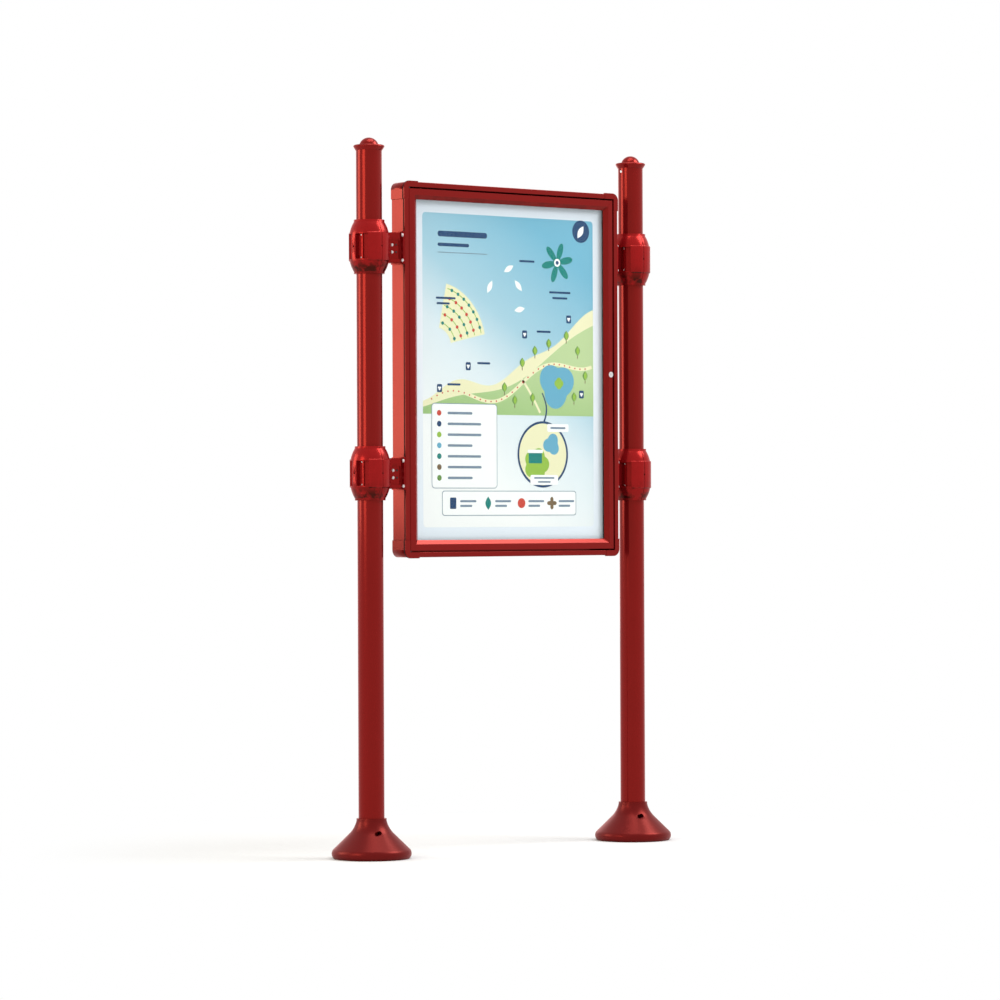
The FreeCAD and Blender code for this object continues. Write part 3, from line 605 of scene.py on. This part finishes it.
    # wide white card along the foot with four icons
    ink["line_grey"].put(card(0, -0.392, 0.524, 0.074, 0.009), 9)
    ink["white"].put(card(0, -0.392, 0.520, 0.070, 0.008), 10)
    icons = (
        ("navy", card(-0.220, -0.392, 0.024, 0.034, 0.004)),
        ("teal", leaf(-0.085, -0.412, 0.040, 0.022, math.pi / 2)),
        ("coral", circle(0.045, -0.392, 0.015)),
        ("earth", petals(0.165, -0.392, 0.019, 4, 0.45, 1.4)),
    )
    for name, outline in icons:
        ink[name].put(outline, 11)
        icon_x = float(outline[:, 0].mean())
        ink["line_grey"].put(card(icon_x + 0.058, -0.386, 0.062, 0.0065, 0.0032), 11)
        ink["line_grey"].put(card(icon_x + 0.050, -0.400, 0.046, 0.0065, 0.0032), 11)

    for colour in ink.values():
        colour.make()


print_motifs(*print_panel())


# Screws, worked out as one profile turned about each screw's own axis


def screw_heads(name, spots, radius, height, socket, material=zinc):
    """Round heads with a six-sided socket, at each spot given as (place, axis).

    The dome is given as (share of the radius, share of the height). The socket's rings follow a
    hexagon: its reach is the half width over the cosine of the angle from the nearest flat.
    """
    count = 24
    turn = np.linspace(0, TURN, count, endpoint=False)
    flat = socket / np.cos((turn + TURN / 12) % (TURN / 6) - TURN / 12)
    hexagon = np.minimum(flat, socket * 1.155)
    floor = height * 0.35
    dome = ((1.0, -1.0), (1.0, 0.20), (0.90, 0.55), (0.70, 0.84), (0.48, 1.0))
    rings = [(np.full(count, radius * share), height * level) for share, level in dome]
    rings += [(hexagon, height), (hexagon, floor), (hexagon * 0.02, floor)]
    reach = np.stack([ring for ring, _ in rings])
    rise = np.array([level for _, level in rings])[:, None] * np.ones(count)
    points = []
    faces = []
    for place, axis in spots:
        out = Vector(axis).normalized()
        side = out.orthogonal().normalized()
        third = out.cross(side)
        basis = np.array([side, third, out])
        local = np.stack([reach * np.cos(turn), reach * np.sin(turn), rise], axis=-1)
        start = len(points)
        points += (local @ basis + np.array(place)).reshape(-1, 3).tolist()
        i = np.arange(len(rings) - 1)[:, None] * count
        j = np.arange(count)[None, :]
        k = (j + 1) % count
        quads = np.stack([i + j, i + k, i + count + k, i + count + j], axis=-1).reshape(-1, 4) + start
        faces += quads.tolist()
    make_piece(name, points, faces, material)


def each_collar():
    """Every collar as (sign of X, post's X, height)."""
    return [(way, post_x[side], collar_z[level]) for side, way in SIDES.items() for level in LEVELS]


# Each kind of screw by its size, then where they stand on their collar, cap or panel
SCREWS = {
    "flange_screws": {"radius": 0.0050, "height": 0.0030, "socket": 0.0015},
    "arm_bolts": {"radius": 0.0046, "height": 0.0034, "socket": 0.0016},
    "arm_screws": {"radius": 0.0030, "height": 0.0018, "socket": 0.0012, "material": dark_reddish_metal},
    "collar_screws": {"radius": 0.0028, "height": 0.0040, "socket": 0.0013},
    "cap_screws": {"radius": 0.0042, "height": 0.0020, "socket": 0.0016},
    "back_screws": {"radius": 0.0045, "height": 0.0022, "socket": 0.0017},
}
FLANGE_FACE = 0.092
FLANGE_SCREW_FRONT = -0.0405
FLANGE_SCREW_RISE = 0.0372
RECESS_START = (0.068, -0.0105)
RECESS_END = (0.090, -0.024)
RECESS_RISES = (-0.0125, 0.009)
RECESS_SHARES = {"arm_bolts": 0.28, "arm_screws": 0.72}
COLLAR_SCREW_ANGLE = math.radians(-67)
COLLAR_SCREW_REACH = 0.0455
COLLAR_SCREW_RISE = 0.033
CAP_SCREW_RISE = 0.013
BACK_SCREW_INSET = 0.022


def add_screws():
    """Screws of the flanges, the arms' recesses, the collars, the caps and the back panel."""
    spots = {name: [] for name in SCREWS}
    floor = Vector(RECESS_END) - Vector(RECESS_START)
    normal = Vector((floor.y, -floor.x)).normalized()
    out = (math.sin(COLLAR_SCREW_ANGLE), -math.cos(COLLAR_SCREW_ANGLE), 0)
    for way, x, z in each_collar():
        for rise in (-FLANGE_SCREW_RISE, FLANGE_SCREW_RISE):
            place = (x - way * FLANGE_FACE, FLANGE_SCREW_FRONT, z + rise)
            spots["flange_screws"].append((place, (way, 0, 0)))
        for rise in RECESS_RISES:
            for name, share in RECESS_SHARES.items():
                foot = Vector(RECESS_START) + floor * share
                place = (x - way * foot.x, foot.y, z + rise)
                spots[name].append((place, (-way * normal.x, normal.y, 0)))
        for rise in (-COLLAR_SCREW_RISE, COLLAR_SCREW_RISE):
            place = (x + COLLAR_SCREW_REACH * out[0], COLLAR_SCREW_REACH * out[1], z + rise)
            spots["collar_screws"].append((place, out))
    for side, way in SIDES.items():
        place = (post_x[side] - way * post_radius, 0, low(f"cap_{side}").z + CAP_SCREW_RISE)
        spots["cap_screws"].append((place, (-way, 0, 0)))
    edge_x = high("back_panel").x - BACK_SCREW_INSET
    edge_z = high("back_panel").z - sheet_middle.z - BACK_SCREW_INSET
    rises = np.linspace(-edge_z, edge_z, 6).tolist()
    asides = np.linspace(-edge_x, edge_x, 5)[1:-1].tolist()
    back = [(way * edge_x, z) for way in (-1, 1) for z in rises]
    back += [(x, way * edge_z) for way in (-1, 1) for x in asides]
    for x, z in back:
        place = (x, high("back_panel").y, sheet_middle.z + z)
        spots["back_screws"].append((place, (0, 1, 0)))
    for name, shape in SCREWS.items():
        screw_heads(name, spots[name], **shape)


add_screws()


KEY_SLOT_HALF = (0.6 * MM, 3.3 * MM)
KEY_SLOT_SHADE_DEPTH = 0.5 * MM


def add_key_slot_shade():
    """Dark panel just inside the plug's key slot, where light hardly reaches."""
    plug = middle("lock_plug")
    depth = low("lock_plug").y + KEY_SLOT_SHADE_DEPTH
    across, up = KEY_SLOT_HALF
    corners = [(-across, -up), (across, -up), (across, up), (-across, up)]
    points = [(plug.x + x, depth, plug.z + z) for x, z in corners]
    make_piece("key_slot_shade", points, [(0, 1, 2, 3)], rubber, body="lock")


add_key_slot_shade()


# Black strips round the case, in the groove behind the front band and on the band's edge: painted shade

CASE_HALF = ((high("case_top").z - low("case_bottom_rail").z) / 2, -low("case_side_left").x)
# The cast corners reach this far along the sides, have this radius and stand this proud
CORNER_LEG = 0.050
CORNER_RADIUS = 0.022
CORNER_PROUD = 0.003
# One strip closes the groove, the other lines the front band's edge; both are painted shade
GROOVE_SHADE_STRIPS = (
    {"inset": -0.0003, "front": -0.0438, "back": -0.0411, "depth": 0.0008},
    {"inset": 0.0021, "front": -0.0409, "back": -0.0362, "depth": 0.0030},
)


def corner_ends(inset, proud, upright):
    """Two points where a side meets a corner: on the side's own line, then on the corner's."""
    rise, side = CASE_HALF
    if upright:
        return [(side - inset, rise - CORNER_LEG), (side - proud, rise - CORNER_LEG)]
    return [(side - CORNER_LEG, rise - inset), (side - CORNER_LEG, rise - proud)]


def shade_strip_line(inset):
    """Closed line round the case: at each corner a step outwards, a quarter circle and a step back."""
    rise, side = CASE_HALF
    proud = inset - CORNER_PROUD
    line = []
    for quarter, (way_x, way_z) in enumerate(((1, 1), (-1, 1), (-1, -1), (1, -1))):
        upright = quarter % 2 == 0
        before = corner_ends(inset, proud, upright)
        after = corner_ends(inset, proud, not upright)[::-1]
        turn = np.linspace(0, TURN / 4, 9) + quarter * TURN / 4
        round_x = way_x * (side - proud - CORNER_RADIUS) + CORNER_RADIUS * np.cos(turn)
        round_z = way_z * (rise - proud - CORNER_RADIUS) + CORNER_RADIUS * np.sin(turn)
        line += [(way_x * x, way_z * z) for x, z in before]
        line += np.stack([round_x, round_z], axis=-1).tolist()
        line += [(way_x * x, way_z * z) for x, z in after]
    return np.array(line)


def add_case_shade_strips():
    """Rectangular black sections carried along closed lines, each just proud of the face that it covers:
    painted shade.
    """
    points = []
    faces = []
    for strip in GROOVE_SHADE_STRIPS:
        outer = shade_strip_line(strip["inset"])
        inner = shade_strip_line(strip["inset"] + strip["depth"])
        front, back = strip["front"], strip["back"]
        section = [(outer, front), (outer, back), (inner, back), (inner, front)]
        rings = [
            np.stack([line[:, 0], np.full(len(line), y), line[:, 1] + sheet_middle.z], axis=-1)
            for line, y in section
        ]
        i = np.arange(len(outer))[:, None] * 4
        j = np.arange(4)[None, :]
        after = (i + 4) % (4 * len(outer))
        beside = (j + 1) % 4
        quads = np.stack([i + j, i + beside, after + beside, after + j], axis=-1).reshape(-1, 4)
        faces += (quads + len(points)).tolist()
        points += np.stack(rings, axis=1).reshape(-1, 3).tolist()
    make_piece("case_groove_shade", points, faces, rubber)


add_case_shade_strips()


# Camera at the photograph's viewing angle

FOCAL_PIXELS = 4073.4
FRAME_PIXELS = 1000
SENSOR = 36
VIEW_TURN = math.radians(39.865)
VIEW_DISTANCE = 12.222
VIEW_ASIDE = -0.0136
VIEW_HEIGHT = 0.9925
HORIZON_DROP = 17.9
VIEW_ROLL = math.radians(-0.235)


def add_camera():
    """Camera straight at the board's turned axis, level, with the horizon moved by a shift."""
    ahead = Vector((math.sin(VIEW_TURN), math.cos(VIEW_TURN), 0))
    aside = Vector((math.cos(VIEW_TURN), -math.sin(VIEW_TURN), 0))
    data = bpy.data.cameras.new("camera")
    data.sensor_width = SENSOR
    data.lens = FOCAL_PIXELS / FRAME_PIXELS * SENSOR
    data.shift_y = HORIZON_DROP / FRAME_PIXELS
    data.clip_end = 100
    camera = bpy.data.objects.new("camera", data)
    scene.collection.objects.link(camera)
    place = ahead * -VIEW_DISTANCE + aside * VIEW_ASIDE
    place.z = VIEW_HEIGHT
    turn = ahead.to_track_quat("-Z", "Y").to_matrix().to_4x4()
    camera.matrix_world = Matrix.Translation(place) @ turn @ Matrix.Rotation(VIEW_ROLL, 4, "Z")
    scene.camera = camera


add_camera()


# Floor, sky and lamps


def background_seen(tree):
    """Socket that is 1 where the camera meets the background, directly, in gloss or through glass."""
    path = tree.nodes.new("ShaderNodeLightPath")
    open_view = joined(tree, "MAXIMUM", path.outputs["Is Camera Ray"], path.outputs["Is Glossy Ray"])
    return joined(tree, "MAXIMUM", open_view, path.outputs["Is Transmission Ray"])


FLOOR_HALF = 30
FLOOR_GREY = (0.80, 0.80, 0.80)
FADE_START, FADE_END = 0.65, 1.5


def add_floor():
    """Pale floor that keeps the board's shadow and fades to white further out."""
    mesh = bpy.data.meshes.new("floor")
    ways = ((-1, -1), (1, -1), (1, 1), (-1, 1))
    mesh.from_pydata([(x * FLOOR_HALF, y * FLOOR_HALF, 0) for x, y in ways], [], [(0, 1, 2, 3)])
    floor = bpy.data.objects.new("floor", mesh)
    scene.collection.objects.link(floor)
    material = new_material("pale_floor", FLOOR_GREY, 0.9)
    mesh.materials.append(material)
    tree = material.node_tree
    shader = tree.nodes["Principled BSDF"]
    place = tree.nodes.new("ShaderNodeTexCoord")
    reach = add(tree, "ShaderNodeVectorMath", operation="LENGTH")
    tree.links.new(place.outputs["Object"], reach.inputs[0])
    fade = add(tree, "ShaderNodeMapRange", interpolation_type="SMOOTHSTEP")
    fade.inputs["From Min"].default_value = FADE_START
    fade.inputs["From Max"].default_value = FADE_END
    tree.links.new(reach.outputs["Value"], fade.inputs["Value"])
    seen = joined(tree, "MULTIPLY", background_seen(tree), fade.outputs["Result"])
    white = add(tree, "ShaderNodeEmission", Color=(1, 1, 1, 1), Strength=1.0)
    mix = tree.nodes.new("ShaderNodeMixShader")
    tree.links.new(seen, mix.inputs["Fac"])
    tree.links.new(shader.outputs[0], mix.inputs[1])
    tree.links.new(white.outputs[0], mix.inputs[2])
    tree.links.new(mix.outputs[0], tree.nodes["Material Output"].inputs["Surface"])


SKY_LIGHT = 0.62


def add_sky():
    """Plain world: white wherever it is seen, and grey as light."""
    world = bpy.data.worlds.new("sky")
    scene.world = world
    world.use_nodes = True
    tree = world.node_tree
    back = tree.nodes["Background"]
    back.inputs["Color"].default_value = (1, 1, 1, 1)
    strength = remap(tree, background_seen(tree), (0.0, 1.0), (SKY_LIGHT, 1.0))
    tree.links.new(strength, back.inputs["Strength"])


WARM = (1.0, 0.97, 0.78)
LAMP_AIM = Vector((0, 0, 1.2))


def add_softbox(name, azimuth, distance, height, width, tall, radiance, colour=(1, 1, 1)):
    """Area lamp that stands at an azimuth about the board, counted as the views are, and faces it.

    Its power is radiance times pi times its area.
    """
    angle = math.radians(azimuth)
    data = bpy.data.lights.new(name, "AREA")
    data.shape = "RECTANGLE"
    data.size = width
    data.size_y = tall
    data.energy = radiance * math.pi * width * tall
    data.color = colour
    lamp = bpy.data.objects.new(name, data)
    scene.collection.objects.link(lamp)
    place = Vector((math.sin(angle) * distance, -math.cos(angle) * distance, height))
    aim = LAMP_AIM - place
    lamp.matrix_world = Matrix.Translation(place) @ aim.to_track_quat("-Z", "Y").to_matrix().to_4x4()


def add_lamps():
    """Two warm softboxes that edge the left sides, a high key, a weak back fill and one overhead."""
    side = {"distance": 4.5, "height": 2.05, "tall": 2.2, "radiance": 4.1, "colour": WARM}
    add_softbox("softbox_back_left", azimuth=-133, width=1.8, **side)
    add_softbox("softbox_left", azimuth=-86, width=1.6, **side)
    add_softbox("key", azimuth=52, distance=4.0, height=5.0, width=3.2, tall=2.6, radiance=8.5)
    add_softbox("fill_back", azimuth=150, distance=4.5, height=2.0, width=3.0, tall=3.0, radiance=0.8)
    add_softbox("overhead", azimuth=0, distance=0.3, height=4.6, width=2.4, tall=1.6, radiance=4.0)


add_floor()
add_sky()
add_lamps()

scene.view_settings.view_transform = "Standard"
